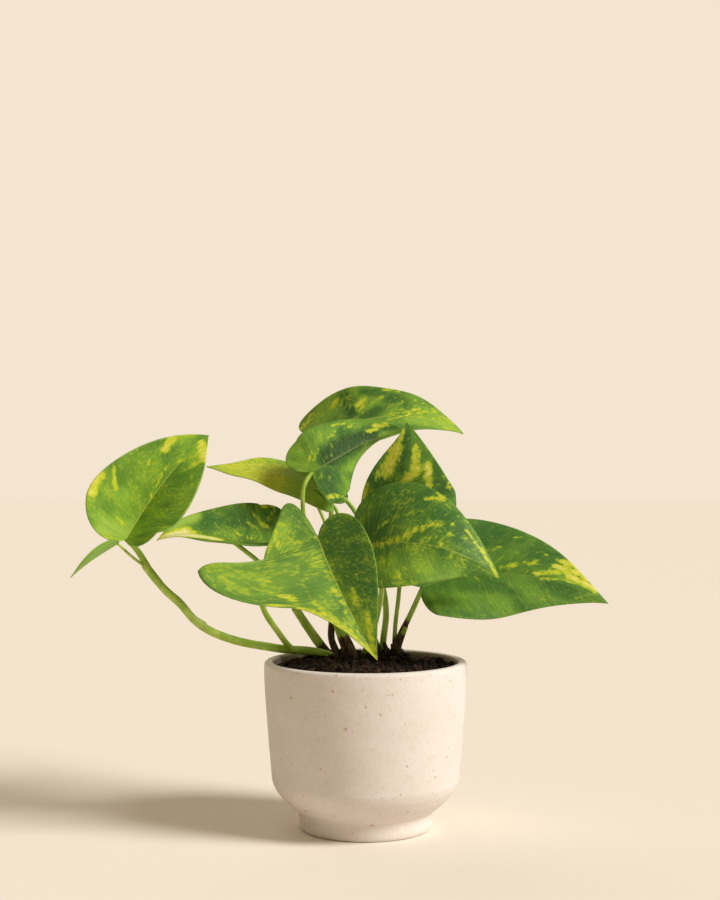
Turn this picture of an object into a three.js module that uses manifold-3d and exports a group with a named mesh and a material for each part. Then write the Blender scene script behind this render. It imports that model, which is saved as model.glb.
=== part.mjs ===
// A golden pothos in a round stoneware pot: heart-shaped blades on thin stalks that rise from dark potting soil.
// Millimetres, +Z up. The origin is the centre of the pot's foot, and -Y is the side that faces the viewer.
import * as THREE from "three";
import { mergeVertices } from "three/addons/utils/BufferGeometryUtils.js";
import Module from "manifold-3d";

const wasm = await Module();
wasm.setup();

// Pot
const POT_HEIGHT = 99;
const RIM_RADIUS = 60;
const RIM_WIDTH = 5.5;
const FOOT_RADIUS = 39;
const FLOOR_HEIGHT = 9;
const ROUND_SEGMENTS = 48;

// Soil
const SOIL_EDGE_HEIGHT = 94.5;
const SOIL_MOUND = 4;
const SOIL_RELIEF = 0.9;

// Stalks and blades
const CLEARANCE = 0.3;
const JOINT_GAP = 0.6;
const CUT_CLEARANCE = 0.45;
const STALK_SIDES = 8;
const STALK_STEP = 8;
const BLADE_THICKNESS = 0.8;
const ROWS = 16;
const COLUMNS = 8;

// Veins leave the midrib at a share of its length that lags behind the margin, and bow towards the tip.
const LOBE_SHARE = 0.3;
const VEIN_LAG = 1.4;
const VEIN_SPREAD = 0.6;
const VEIN_SWEEP = 0.3;
const HALF_WIDTH = 0.44;

// Half outlines in blade lengths: [across from the midrib, along from the stalk's joint to the tip].
// Each curve runs until a share of the way round the margin.
const HEART = [
  { until: 0.4, curve: [[0, 0], [0.1, -0.2], [0.42, -0.2], [0.44, 0.15]] },
  { until: 1, curve: [[0.44, 0.15], [0.46, 0.5], [0.12, 0.8], [0, 1]] },
];
const BROAD = [
  { until: 0.4, curve: [[0, 0], [0.1, -0.2], [0.4, -0.2], [0.44, 0.2]] },
  { until: 1, curve: [[0.44, 0.2], [0.47, 0.5], [0.24, 0.85], [0, 1]] },
];
const TAPERED = [
  { until: 0.4, curve: [[0, 0], [0.1, -0.2], [0.42, -0.2], [0.44, 0.15]] },
  { until: 1, curve: [[0.44, 0.15], [0.45, 0.45], [0.08, 0.5], [0, 1]] },
];
const SLENDER = [
  { until: 0.4, curve: [[0, 0], [0.16, -0.1], [0.42, 0], [0.44, 0.25]] },
  { until: 1, curve: [[0.44, 0.25], [0.46, 0.55], [0.14, 0.8], [0, 1]] },
];
const SPLIT = [
  { until: 3 / ROWS, curve: [[0, 0], [0.02, -0.22], [0.1, -0.44], [0.225, -0.24]] },
  { until: 5 / ROWS, curve: [[0.225, -0.24], [0.3, -0.13], [0.44, 0.02], [0.49, 0.15]] },
  { until: 9 / ROWS, curve: [[0.49, 0.15], [0.6, 0.03], [0.82, -0.05], [0.92, 0.02]] },
  { until: 11 / ROWS, curve: [[0.92, 0.02], [0.94, 0.16], [0.64, 0.32], [0.38, 0.42]] },
  { until: 1, curve: [[0.38, 0.42], [0.22, 0.5], [0.08, 0.72], [0, 1]] },
];

// Blades. Pairs are [left, right] as seen from the upper face with the tip ahead.
// bow lifts the midrib towards the upper face and sway moves it to the left, near the joint and near the tip.
// rise is the angle of each half to the blade's plane at the joint and at the tip, and curl adds to it at the margin.
const BLADES = {
  leaf_far_left: {
    base: [-142, 1, 170.5],
    tip: [-95.4, 26, 232.5],
    face: [0, -1, 0],
    bow: [-5, 15],
    sway: [5, 4],
    width: [1.12, 1.02],
    lobe: [0.85, 0.6],
    rise: [[42, 60], [42, 20]],
    curl: [-6, 8],
    wave: { height: 0.8, count: 3, phase: 0.1 },
  },
  leaf_young: {
    base: [-145.5, -9, 168.5],
    tip: [-170, -27, 150],
    face: [0, -0.2, 1],
    bow: [1, 2],
    sway: [0, 0],
    width: [0.32, 0.32],
    lobe: [0.6, 0.6],
    rise: [[65, 65], [70, 70]],
    curl: [0, 0],
    wave: { height: 0, count: 1, phase: 0 },
    outline: [SLENDER, SLENDER],
  },
  leaf_upper_left: {
    base: [-33.8, 12, 201],
    tip: [-96, 18, 213.4],
    face: [0, -0.42, 0.9],
    bow: [7, 0],
    sway: [-3, 0],
    width: [0.42, 0.88],
    lobe: [2.2, 0.8],
    rise: [[-30, -3], [5, 6]],
    curl: [3, -7],
    wave: { height: 0.8, count: 3, phase: 0.3 },
  },
  leaf_top_back: {
    base: [-30.3, 59, 233.2],
    tip: [61, 46, 233.5],
    face: [0, -0.6, 0.8],
    bow: [16, 22],
    sway: [-4, 1.5],
    width: [0.67, 0.72],
    lobe: [1.2, 0.6],
    rise: [[17, 11], [-5, 7]],
    curl: [11, -13],
    wave: { height: 1, count: 3, phase: 0 },
    outline: [BROAD, HEART],
  },
  leaf_top_front: {
    base: [-31.4, -8, 210.8],
    tip: [22.5, 16, 235.2],
    face: [0, -1, 0.1],
    bow: [8, -14],
    sway: [0.6, 6.4],
    width: [0.93, 0.8],
    lobe: [1.3, 0.15],
    rise: [[-16, 3], [-16, -85]],
    curl: [-23, -15],
    wave: { height: 1.2, count: 2, phase: 0.2 },
    outline: [BROAD, TAPERED],
  },
  leaf_upright: {
    base: [20.5, 13, 173.5],
    tip: [24.3, 6, 240.3],
    face: [0, -1, 0.3],
    bow: [-6, 12],
    sway: [13, -1.5],
    width: [0.62, 1.5],
    lobe: [0.6, 0.64],
    rise: [[4, -1], [-13, 3]],
    curl: [-10, -38],
    wave: { height: 1, count: 3, phase: 0.4 },
  },
  leaf_centre_right: {
    base: [1, -14, 168.5],
    tip: [77.2, -32, 149.8],
    face: [0, -0.95, 0.3],
    bow: [17, 22],
    sway: [5, 9],
    width: [1.06, 0.78],
    lobe: [1.1, 0.8],
    rise: [[2, 13], [-20, -9]],
    curl: [-20, 14],
    wave: { height: 1, count: 2, phase: 0.1 },
  },
  leaf_front: {
    base: [-27.5, -26, 173],
    tip: [6.5, -48, 105],
    face: [0, -1, 0.35],
    bow: [2, 2],
    sway: [-3, -2],
    width: [0.8, 1],
    lobe: [0.8, 1],
    rise: [[25, 12], [20, 15]],
    curl: [-10, 0],
    wave: { height: 0.8, count: 2, phase: 0.3 },
    outline: [HEART, SPLIT],
  },
  leaf_left: {
    base: [-50.5, -2, 171],
    tip: [-122, -14, 170.8],
    face: [0, -0.7, 0.7],
    bow: [-3, 1],
    sway: [9, -14],
    width: [0.8, 0.92],
    lobe: [0.8, 1],
    rise: [[47, 7], [32, 10]],
    curl: [2, -5],
    wave: { height: 0.8, count: 3, phase: 0.6 },
  },
  leaf_right: {
    base: [33.6, -5, 142.5],
    tip: [140, -25, 134.8],
    face: [0, -0.88, 0.48],
    bow: [-3, 6],
    sway: [19, 15.5],
    width: [0.77, 0.75],
    lobe: [0.9, 0.28],
    rise: [[15, 40], [-20, -4]],
    curl: [-15, -19],
    wave: { height: 1, count: 3, phase: 0 },
  },
  leaf_back_left: {
    base: [-84, 8, 173],
    tip: [-86, 64, 180],
    face: [0, 0, 1],
    bow: [6, 6],
    sway: [0, 0],
    width: [0.85, 0.85],
    lobe: [0.8, 0.8],
    rise: [[15, 15], [5, 5]],
    curl: [-10, -10],
    wave: { height: 0.8, count: 3, phase: 0.5 },
  },
  leaf_back: {
    base: [-25, 40, 192],
    tip: [-63, 88, 198],
    face: [0, 0, 1],
    bow: [6, 6],
    sway: [0, 0],
    width: [0.66, 0.66],
    lobe: [0.8, 0.8],
    rise: [[15, 15], [5, 5]],
    curl: [-10, -10],
    wave: { height: 0.8, count: 3, phase: 0.2 },
  },
  leaf_back_upper: {
    base: [-20, 37, 197],
    tip: [-40, 80, 228],
    face: [0, -0.5, 1],
    bow: [5, 5],
    sway: [0, 0],
    width: [0.5, 0.5],
    lobe: [0.5, 0.5],
    rise: [[20, 20], [10, 10]],
    curl: [-10, -10],
    wave: { height: 0.8, count: 3, phase: 0.7 },
  },
};

// Stalks: each is a list of shoots that grow together, with points from the foot up and radii at both ends.
const STALKS = {
  stalk_runner: [
    {
      radii: [2.6, 2.4],
      points: [[-14, 14, 88], [-18, 17, 97], [-28, 19, 101], [-50, 20, 103], [-58, 20, 104.2], [-77, 18, 108],
        [-93.5, 15, 114.5], [-103, 13, 121.5], [-111, 10, 131.5], [-120, 8, 140], [-128.5, 5, 151], [-131.5, 4, 155]],
    },
    { radii: [2, 1.6], points: [[-130, 4.5, 153], [-134, 4, 161], [-138, 2.5, 166.5], [-142, 1, 170.5]] },
    { radii: [1, 0.9], points: [[-130, 4.5, 153], [-138, -1, 160], [-145.5, -9, 168.5]] },
    {
      radii: [1.9, 1.4],
      points: [[-45, 20, 102.5], [-51, 13, 112], [-60, 5, 127], [-62, -2, 138], [-56, -11, 155], [-42, -22, 169],
        [-27.5, -26, 173]],
    },
  ],
  stalk_left: [
    {
      radii: [2.6, 1.9],
      points: [[-21, 33, 86], [-22, 32, 96], [-25, 30, 101], [-31, 27, 109.5], [-38, 22, 120.5], [-42.5, 19, 128]],
    },
    {
      radii: [1.7, 1.3],
      points: [[-41, 20, 125.5], [-52, 11, 143], [-63, 6, 156], [-72, 5, 163.5], [-78, 6, 168], [-84, 8, 173]],
    },
    { radii: [1.7, 1.3], points: [[-41, 20, 125.5], [-44, 11, 145], [-46.5, 2, 162], [-50.5, -2, 171]] },
  ],
  stalk_centre: [
    {
      radii: [2.2, 2],
      points: [[-12, 7, 86], [-14, 8.5, 97], [-18, 12, 103.5], [-20.5, 14, 110], [-20, 14, 124], [-20, 15, 142]],
    },
    { radii: [1.7, 1.3], points: [[-9, 4, 86], [-10, 5, 97], [-12.3, 6.5, 104], [-17.5, 12, 118], [-20, 14, 128]] },
    { radii: [2.3, 0.5], points: [[-7, 3, 86], [-7.5, 3.5, 97], [-8.5, 4, 104], [-12, 6, 116]] },
    { radii: [1.5, 1.2], points: [[-20, 15, 138], [-27, 7, 156], [-35, -1, 176], [-37, -5, 190], [-36, -8.5, 203], [-31.4, -8, 210.8]] },
    {
      radii: [1.2, 1],
      points: [[-20, 15, 138], [-21, 14.5, 156], [-23.5, 14.5, 177], [-28, 16, 188], [-31.5, 14.5, 195.5], [-33.4, 12.5, 200]],
    },
    {
      radii: [1.6, 1.3],
      points: [[-20, 15, 138], [-20, 18, 158], [-21, 21, 178], [-20.5, 26, 196], [-24, 41, 215], [-30.3, 59, 233.2]],
    },
    { radii: [1.3, 1.1], points: [[-20, 15, 138], [-17, 21, 160], [-16.5, 27, 177], [-18, 33, 187], [-25, 40, 192]] },
  ],
  stalk_back: [
    {
      radii: [2.2, 1.2],
      points: [[9, 21, 86], [9.5, 21, 97], [11, 21, 110], [12.5, 21, 124], [11, 22, 138], [3, 26, 165], [-6, 30, 185],
        [-13, 34, 193.5], [-20, 37, 197]],
    },
    { radii: [2, 0.4], points: [[9.5, 19, 86], [9, 18, 97], [8, 16, 103], [4.5, 14, 112]] },
  ],
  stalk_middle: [
    {
      radii: [2, 1.4],
      points: [[-3, 12, 86], [-2.5, 12, 97], [2, 8, 108], [6, 0, 122], [9.5, -8, 142], [7.5, -12, 159], [1, -14, 168.5]],
    },
  ],
  stalk_right: [
    { radii: [2.4, 2], points: [[18, 13, 86], [17.5, 13, 97], [17, 13.5, 107]] },
    { radii: [2.2, 0.4], points: [[17, 13, 88], [15.5, 13, 98], [13, 12, 104], [9.5, 10.5, 113]] },
    { radii: [2, 0.4], points: [[18.5, 13, 88], [19.5, 13, 98], [22, 12.5, 105], [26.5, 12, 112]] },
    { radii: [1.4, 1.2], points: [[17.2, 13.4, 102], [18, 15, 118], [20, 17, 135], [21, 18.5, 148], [21.5, 18, 160], [20.5, 13, 173.5]] },
    { radii: [1.7, 1.4], points: [[17.2, 13.4, 102], [21, 10, 113], [26.5, 4, 125], [31, -2, 136], [33.6, -5, 142.5]] },
  ],
};

// Colours
const COLOURS = {
  pot: 0xd2c5b3,
  soil: 0x2b2019,
  stalk: 0x86a83a,
  leaf: 0x4f8a34,
};

const radians = (degrees) => (degrees * Math.PI) / 180;
const vector = (p) => new THREE.Vector3(...p);

// The position and index of a geometry, with shared vertices merged and collapsed triangles dropped.
function welded(geometry) {
  const plain = geometry.clone();
  plain.deleteAttribute("normal");
  plain.deleteAttribute("uv");
  const merged = mergeVertices(plain, 1e-3);
  const kept = [];
  for (let i = 0; i < merged.index.count; i += 3) {
    const [a, b, c] = [0, 1, 2].map((k) => merged.index.getX(i + k));
    if (a !== b && b !== c && c !== a) {
      kept.push(a, b, c);
    }
  }
  merged.setIndex(kept);
  return merged;
}

function solidFrom(geometry) {
  const merged = welded(geometry);
  return new wasm.Manifold(
    new wasm.Mesh({
      numProp: 3,
      vertProperties: merged.attributes.position.array,
      triVerts: new Uint32Array(merged.index.array),
    }),
  );
}

function geometryFrom(solid) {
  const mesh = solid.getMesh();
  const geometry = new THREE.BufferGeometry();
  geometry.setAttribute("position", new THREE.BufferAttribute(new Float32Array(mesh.vertProperties), 3));
  geometry.setIndex(new THREE.BufferAttribute(new Uint32Array(mesh.triVerts), 1));
  geometry.computeVertexNormals();
  return geometry;
}

function largestPiece(solid) {
  return solid.decompose().reduce((a, b) => (a.volume() > b.volume() ? a : b));
}

// The point of a half outline at a share of the way from the joint round to the tip.
function marginPoint(outline, share) {
  const n = outline.findIndex((part) => share <= part.until);
  const start = n === 0 ? 0 : outline[n - 1].until;
  const u = (share - start) / (outline[n].until - start);
  const weights = [(1 - u) ** 3, 3 * u * (1 - u) ** 2, 3 * u * u * (1 - u), u ** 3];
  return [0, 1].map((axis) => weights.reduce((sum, w, k) => sum + w * outline[n].curve[k][axis], 0));
}

// The middle surface of a blade, as a function of the side, the share round the margin and the share out along a vein.
function bladeSurface(blade) {
  const base = vector(blade.base);
  const tip = vector(blade.tip);
  const span = tip.clone().sub(base);
  const up = vector(blade.face).projectOnPlane(span).normalize();
  const left = up.clone().cross(span).normalize();
  const [near, far] = [0, 1].map((k) =>
    base
      .clone()
      .addScaledVector(span, (k + 1) / 3)
      .addScaledVector(up, blade.bow[k])
      .addScaledVector(left, blade.sway[k]),
  );
  const midrib = new THREE.CubicBezierCurve3(base, near, far, tip);
  const length = midrib.getLength();

  return (side, share, out) => {
    const outline = blade.outline ? blade.outline[side] : HEART;
    const [edgeAcross, edgeAlong] = marginPoint(outline, share);
    const root = Math.max(0, (share - LOBE_SHARE) / (1 - LOBE_SHARE)) ** VEIN_LAG;
    const across = edgeAcross * blade.width[side] * out * (2 * (1 - out) * VEIN_SPREAD + out);
    const reach = edgeAlong < 0 ? edgeAlong * blade.lobe[side] : edgeAlong;
    const along = root + (reach - root) * out * (2 * (1 - out) * VEIN_SWEEP + out);
    const place = Math.min(Math.max(along, 0), 1);
    const ahead = midrib.getTangent(place);
    const point = midrib.getPoint(place).addScaledVector(ahead, (along - place) * length);
    const upHere = up.clone().projectOnPlane(ahead).normalize();
    const leftHere = upHere.clone().cross(ahead);
    const rise = THREE.MathUtils.lerp(blade.rise[0][side], blade.rise[1][side], place);
    const halfCurl = radians(blade.curl[side] * across / HALF_WIDTH / 2);
    const slope = radians(rise) + halfCurl;
    const distance = across * length * (Math.abs(halfCurl) > 1e-6 ? Math.sin(halfCurl) / halfCurl : 1);
    const { height, count, phase } = blade.wave;
    const wave = height * out ** 2 * Math.sin(2 * Math.PI * (count * share + phase)) * Math.sin(Math.PI * share);
    point.addScaledVector(leftHere, distance * Math.cos(slope) * (side === 0 ? 1 : -1));
    point.addScaledVector(upHere, distance * Math.sin(slope) + wave);
    return point;
  };
}

// A blade's middle surface as an open sheet whose triangles face the upper side.
function bladeSheet(blade) {
  const surface = bladeSurface(blade);
  const sheet = new THREE.PlaneGeometry(1, 1, COLUMNS, ROWS);
  const position = sheet.attributes.position;
  for (let i = 0; i < position.count; i++) {
    const across = 2 * position.getX(i);
    const point = surface(across < 0 ? 0 : 1, position.getY(i) + 0.5, Math.abs(across));
    position.setXYZ(i, ...point);
  }
  const merged = welded(sheet);
  merged.computeVertexNormals();
  return merged;
}

// Edges that only one triangle uses.
function openEdges(sheet) {
  const edges = new Map();
  for (let i = 0; i < sheet.index.count; i += 3) {
    for (let k = 0; k < 3; k++) {
      const a = sheet.index.getX(i + k);
      const b = sheet.index.getX(i + ((k + 1) % 3));
      if (!edges.delete(`${b} ${a}`)) {
        edges.set(`${a} ${b}`, [a, b]);
      }
    }
  }
  return [...edges.values()];
}

// A closed solid round a sheet: both faces share one pattern of triangles, and walls join them at the open edges.
function thickened(sheet, thickness, outset = 0) {
  const position = sheet.attributes.position;
  const normal = sheet.attributes.normal;
  const count = position.count;
  const edges = openEdges(sheet);
  const shift = Array.from({ length: count }, () => new THREE.Vector3());
  for (const [a, b] of edges) {
    const start = new THREE.Vector3().fromBufferAttribute(position, a);
    const along = new THREE.Vector3().fromBufferAttribute(position, b).sub(start);
    for (const k of [a, b]) {
      const outward = along.clone().cross(new THREE.Vector3().fromBufferAttribute(normal, k)).normalize();
      shift[k].addScaledVector(outward, outset / 2);
    }
  }
  const points = [];
  for (const side of [1, -1]) {
    for (let i = 0; i < count; i++) {
      const point = new THREE.Vector3().fromBufferAttribute(position, i).add(shift[i]);
      point.addScaledVector(new THREE.Vector3().fromBufferAttribute(normal, i), (side * thickness) / 2);
      points.push(...point);
    }
  }
  const index = [];
  for (let i = 0; i < sheet.index.count; i += 3) {
    const [a, b, c] = [0, 1, 2].map((k) => sheet.index.getX(i + k));
    index.push(a, b, c, c + count, b + count, a + count);
  }
  for (const [a, b] of edges) {
    index.push(b, a, a + count, b, a + count, b + count);
  }
  const closed = new THREE.BufferGeometry();
  closed.setAttribute("position", new THREE.Float32BufferAttribute(points, 3));
  closed.setIndex(index);
  closed.computeVertexNormals();
  return closed;
}

// A round shoot bent along a curve through its points, from a closed cylinder.
function shootSolid(shoot, extra = 0) {
  const path = new THREE.CatmullRomCurve3(shoot.points.map(vector), false, "centripetal");
  const steps = Math.max(3, Math.round(path.getLength() / STALK_STEP));
  const frames = path.computeFrenetFrames(steps, false);
  const tube = new THREE.CylinderGeometry(1, 1, 1, STALK_SIDES, steps);
  const position = tube.attributes.position;
  for (let i = 0; i < position.count; i++) {
    const share = 0.5 - position.getY(i);
    const k = Math.round(share * steps);
    const radius = THREE.MathUtils.lerp(...shoot.radii, share) + extra;
    const point = path.getPointAt(share);
    if (k === 0) {
      point.addScaledVector(frames.tangents[0], -extra);
    }
    if (k === steps) {
      point.addScaledVector(frames.tangents[k], extra - JOINT_GAP);
    }
    point.addScaledVector(frames.normals[k], position.getX(i) * radius);
    point.addScaledVector(frames.binormals[k], position.getZ(i) * radius);
    position.setXYZ(i, ...point);
  }
  return solidFrom(tube);
}

function stalkSolid(shoots, extra = 0) {
  return shoots.map((shoot) => shootSolid(shoot, extra)).reduce((a, b) => a.add(b));
}

function potGeometry() {
  const lip = RIM_RADIUS - RIM_WIDTH;
  const profile = [
    [0, 0], [FOOT_RADIUS - 1.6, 0], [FOOT_RADIUS - 0.3, 0.8], [FOOT_RADIUS + 0.4, 3], [FOOT_RADIUS + 0.6, 8],
    [FOOT_RADIUS + 1.4, 10.8], [FOOT_RADIUS + 4.6, 13.2], [FOOT_RADIUS + 10.6, 19], [FOOT_RADIUS + 14.4, 24],
    [FOOT_RADIUS + 16.3, 28.5], [FOOT_RADIUS + 18.2, 50], [RIM_RADIUS - 0.6, 78], [RIM_RADIUS, 90],
    [RIM_RADIUS, POT_HEIGHT - 1.8], [RIM_RADIUS - 0.7, POT_HEIGHT - 0.5], [RIM_RADIUS - 2, POT_HEIGHT],
    [lip + 1.6, POT_HEIGHT], [lip + 0.5, POT_HEIGHT - 0.5], [lip, POT_HEIGHT - 1.8], [lip - 0.8, 80],
    [lip - 3.5, 34], [lip - 9, 20], [lip - 20, FLOOR_HEIGHT + 1.5], [lip - 26, FLOOR_HEIGHT], [0, FLOOR_HEIGHT],
  ];
  const lathe = new THREE.LatheGeometry(profile.map(([r, z]) => new THREE.Vector2(r, z)), ROUND_SEGMENTS);
  return lathe.rotateX(Math.PI / 2);
}

// Height of the soil: a low mound with lumps that fade out towards the wall.
function soilHeight(x, y) {
  const share = Math.min(1, Math.hypot(x, y) / (RIM_RADIUS - RIM_WIDTH));
  const lumps = Math.sin(0.31 * x + 0.9) * Math.cos(0.27 * y - 0.4) + 0.6 * Math.sin(0.53 * y - 0.38 * x + 2);
  return SOIL_EDGE_HEIGHT + SOIL_MOUND * (1 - share ** 2) + SOIL_RELIEF * lumps * (1 - 0.6 * share ** 4);
}

function soilGeometry() {
  const wall = RIM_RADIUS - RIM_WIDTH - CLEARANCE;
  const floor = FLOOR_HEIGHT + CLEARANCE;
  const rings = [0, 6, 12, 18, 24, 30, 36, 42, 48, wall - 1];
  const profile = [
    [0, floor], [wall - 26, floor], [wall - 20, floor + 1.5], [wall - 9, 20.2], [wall - 3.5, 34], [wall - 0.9, 80],
    ...rings.reverse().map((r) => [r, SOIL_EDGE_HEIGHT]),
  ];
  const lathe = new THREE.LatheGeometry(profile.map(([r, z]) => new THREE.Vector2(r, z)), ROUND_SEGMENTS);
  lathe.rotateX(Math.PI / 2);
  const position = lathe.attributes.position;
  for (let i = 0; i < position.count; i++) {
    if (position.getZ(i) > SOIL_EDGE_HEIGHT - 1) {
      position.setZ(i, soilHeight(position.getX(i), position.getY(i)));
    }
  }
  return lathe;
}

const group = new THREE.Group();
group.name = "potted_pothos";

function add(name, geometry, colour, roughness) {
  const material = new THREE.MeshStandardMaterial({ color: colour, roughness, metalness: 0 });
  const mesh = new THREE.Mesh(geometry, material);
  mesh.name = name;
  group.add(mesh);
}

add("pot", potGeometry(), COLOURS.pot, 0.8);

let soil = solidFrom(soilGeometry());
for (const shoots of Object.values(STALKS)) {
  soil = soil.subtract(stalkSolid(shoots, CLEARANCE));
}
add("soil", geometryFrom(largestPiece(soil)), COLOURS.soil, 0.95);

const sheets = Object.fromEntries(Object.entries(BLADES).map(([name, blade]) => [name, bladeSheet(blade)]));

for (const [name, shoots] of Object.entries(STALKS)) {
  let stalk = stalkSolid(shoots);
  for (const sheet of Object.values(sheets)) {
    stalk = stalk.subtract(solidFrom(thickened(sheet, BLADE_THICKNESS + 2 * CUT_CLEARANCE, 2 * CUT_CLEARANCE)));
  }
  add(name, geometryFrom(largestPiece(stalk)), COLOURS.stalk, 0.5);
}

for (const [name, sheet] of Object.entries(sheets)) {
  add(name, thickened(sheet, BLADE_THICKNESS), COLOURS.leaf, 0.4);
}

export default group;
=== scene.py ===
import math
import random

import bmesh
import bpy
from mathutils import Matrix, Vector, noise


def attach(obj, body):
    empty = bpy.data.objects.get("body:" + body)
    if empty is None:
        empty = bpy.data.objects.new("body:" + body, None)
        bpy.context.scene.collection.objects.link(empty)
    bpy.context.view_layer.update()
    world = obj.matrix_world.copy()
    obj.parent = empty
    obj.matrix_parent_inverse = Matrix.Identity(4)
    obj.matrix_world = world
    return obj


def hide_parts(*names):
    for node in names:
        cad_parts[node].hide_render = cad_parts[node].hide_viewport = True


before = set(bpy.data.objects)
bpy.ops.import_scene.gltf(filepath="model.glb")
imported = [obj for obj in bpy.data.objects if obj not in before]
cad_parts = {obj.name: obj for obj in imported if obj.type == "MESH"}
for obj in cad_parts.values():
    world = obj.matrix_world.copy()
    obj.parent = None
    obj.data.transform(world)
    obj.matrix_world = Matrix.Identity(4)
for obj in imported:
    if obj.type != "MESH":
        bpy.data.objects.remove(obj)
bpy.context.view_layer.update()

# Potted golden pothos: finer pieces over the CAD nodes, with their materials, light and camera.
# Measures are in millimetres, and at() turns them into metres where they go into a mesh.

MM = 0.001
MERGE = 1e-6

# Blades: fineness, thickness and side veins. Between the veins a blade swells by QUILTING where the half is
# QUILTED_BREADTH wide.
LEAF_ROWS = 96
LEAF_COLUMNS = 26
MIDRIB_STEPS = 200
BLADE_THICKNESS = 0.6
VEINS = 9
QUILTING = 0.35
QUILTED_BREADTH = 20

# Side veins end at even shares of the margin. Those of the lobe start at the joint. The others start further
# along the midrib, run outwards first and then sweep towards the tip. A half has its full curl at HALF_WIDTH
# blade lengths from the midrib.
LOBE_SHARE = 0.3
VEIN_LAG = 1.4
VEIN_SPREAD = 0.6
VEIN_SWEEP = 0.3
HALF_WIDTH = 0.44

# Pattern on a blade: the usual length of a margin and of a side vein, how far halves and leaves lie apart in
# the noise, and the fine veins to each side vein
MARGIN_LENGTH = 90
VEIN_LENGTH = 32
HALVES_APART = 40
LEAVES_APART = 60
FINE_VEINS = 5

# A soft mark is full up to one share of its radius and gone at another.
MARK_HEART = 0.2
MARK_EDGE = 2.1

# Pot and soil
POT_HEIGHT = 99
RIM_RADIUS = 60
RIM_WIDTH = 5.5
LIP_RADIUS = RIM_RADIUS - RIM_WIDTH
FOOT_RADIUS = 39
FLOOR_HEIGHT = 9
POT_SEGMENTS = 160
CORNER = 0.8
SOIL_EDGE_HEIGHT = 94.5
SOIL_MOUND = 4
SOIL_RELIEF = 0.9
SOIL_RINGS = 56
CLEARANCE = 0.3

# Specks in the glaze, in three kinds: how far apart, the share that shows, and how strongly
SPECKS = ((3.2, 0.4, 0.6), (1.7, 0.35, 0.45), (8, 0.6, 0.62))

# Roughness of the soil: how high each size of lump stands, and how many there are to a millimetre
SOIL_ROUGHNESS = ((1.1, 0.35), (0.8, 0.9), (0.3, 2.2))

# Loose crumbs, half of them scattered round the stalks' feet, and fibres that arch over the soil
CRUMBS = 720
LARGE_CRUMB_EVERY = 9
CRUMB_REACH = 52
CRUMB_SCATTER = 4.5
HEAP_HEIGHT = 3.2
STALK_FEET = [(-12, 10), (-22, 32), (-9, 4), (9, 20), (-3, 12), (17, 13), (-18, 17)]
FIBRES = 90
FIBRE_REACH = 48
FIBRE_LIMIT = 53
FIBRE_ARCH = (0.3, 1.0, 1.6, 1.0, 0.2)

# Stalks: fineness, lumps along them, the swollen foot in its own radii, and the soft edge of the brown
TUBE_SIDES = 16
TUBE_STEP = 2.5
CURVE_STEPS = 24
STALK_LUMPS = 0.05
LUMP_LENGTH = 4
FOOT_SWELL = 0.3
FOOT_REACH = 4
BROWN_EDGE = 0.12
STALK_RIBS = 11

# Stage: half the floor's side, and the camera of the photo, level and straight ahead
FLOOR_REACH = 6000
CAMERA_PLACE = (-3.3, -942.7, 223.5)
FOCAL_LENGTH = 63.6
SENSOR_HEIGHT = 36

# Half outlines, as cubic curves of [across, along] up to a share of the margin
HEART = [
    (0.4, [(0, 0), (0.1, -0.2), (0.42, -0.2), (0.44, 0.15)]),
    (1, [(0.44, 0.15), (0.46, 0.5), (0.12, 0.8), (0, 1)]),
]
BROAD = [
    (0.4, [(0, 0), (0.1, -0.2), (0.4, -0.2), (0.44, 0.2)]),
    (1, [(0.44, 0.2), (0.47, 0.5), (0.24, 0.85), (0, 1)]),
]
TAPERED = [
    (0.4, [(0, 0), (0.1, -0.2), (0.42, -0.2), (0.44, 0.15)]),
    (1, [(0.44, 0.15), (0.45, 0.45), (0.08, 0.5), (0, 1)]),
]
SLENDER = [
    (0.4, [(0, 0), (0.16, -0.1), (0.42, 0), (0.44, 0.25)]),
    (1, [(0.44, 0.25), (0.46, 0.55), (0.14, 0.8), (0, 1)]),
]
SPLIT = [
    (3 / 16, [(0, 0), (0.02, -0.22), (0.1, -0.44), (0.225, -0.24)]),
    (5 / 16, [(0.225, -0.24), (0.3, -0.13), (0.44, 0.02), (0.49, 0.15)]),
    (9 / 16, [(0.49, 0.15), (0.6, 0.03), (0.82, -0.05), (0.92, 0.02)]),
    (11 / 16, [(0.92, 0.02), (0.94, 0.16), (0.64, 0.32), (0.38, 0.42)]),
    (1, [(0.38, 0.42), (0.22, 0.5), (0.08, 0.72), (0, 1)]),
]

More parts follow.
